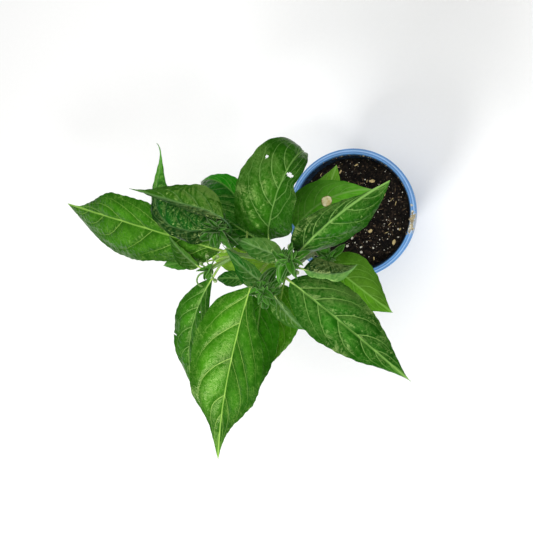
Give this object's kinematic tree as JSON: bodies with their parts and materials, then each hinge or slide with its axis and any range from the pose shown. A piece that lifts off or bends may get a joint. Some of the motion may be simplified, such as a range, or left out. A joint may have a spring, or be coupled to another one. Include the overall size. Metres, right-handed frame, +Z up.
{
  "type": "potted chilli pepper plant",
  "caption": "Young chilli pepper plant with broad glossy leaves on a leaning, forked stem, growing from dark soil in a round tapered plastic pot.",
  "frame": {"origin": "centre of the flat underside of the pot", "axes": "+Z up along the pot's axis; the plant leans out over the rim towards -X and -Y"},
  "size_m": [0.2833, 0.2515, 0.3014],
  "materials": {
    "pot": "moulded plastic with a soft sheen",
    "soil": "damp, crumbly potting mix",
    "stem": "green stem, turning woody at its forks",
    "leaf": "glossy, puckered between the veins",
    "shoot": "softly hairy young growth"
  },
  "bodies": {
    "root": {"pot": "pot", "soil": "soil", "stem": "stem", "leaf_front_large": "leaf", "leaf_front_left": "leaf", "leaf_front_shaded": "leaf", "leaf_front_low": "leaf", "leaf_right_front": "leaf", "leaf_right_low": "leaf", "leaf_right_back": "leaf", "leaf_right_middle": "leaf", "leaf_right_under": "leaf", "leaf_back_large": "leaf", "leaf_back_left": "leaf", "leaf_back_under": "leaf", "leaf_centre_upper": "leaf", "leaf_centre_front": "leaf", "leaf_centre_small": "leaf", "leaf_centre_under": "leaf", "leaf_right_folded": "leaf", "leaf_left_upper": "leaf", "leaf_left_large": "leaf", "leaf_left_cupped": "leaf", "leaf_left_folded": "leaf", "leaf_left_small": "leaf", "leaf_front_folded": "leaf", "shoot_centre": "shoot", "shoot_front": "shoot", "shoot_left": "shoot", "shoot_twig": "shoot", "shoot_side": "shoot"}
  },
  "joints": []
}
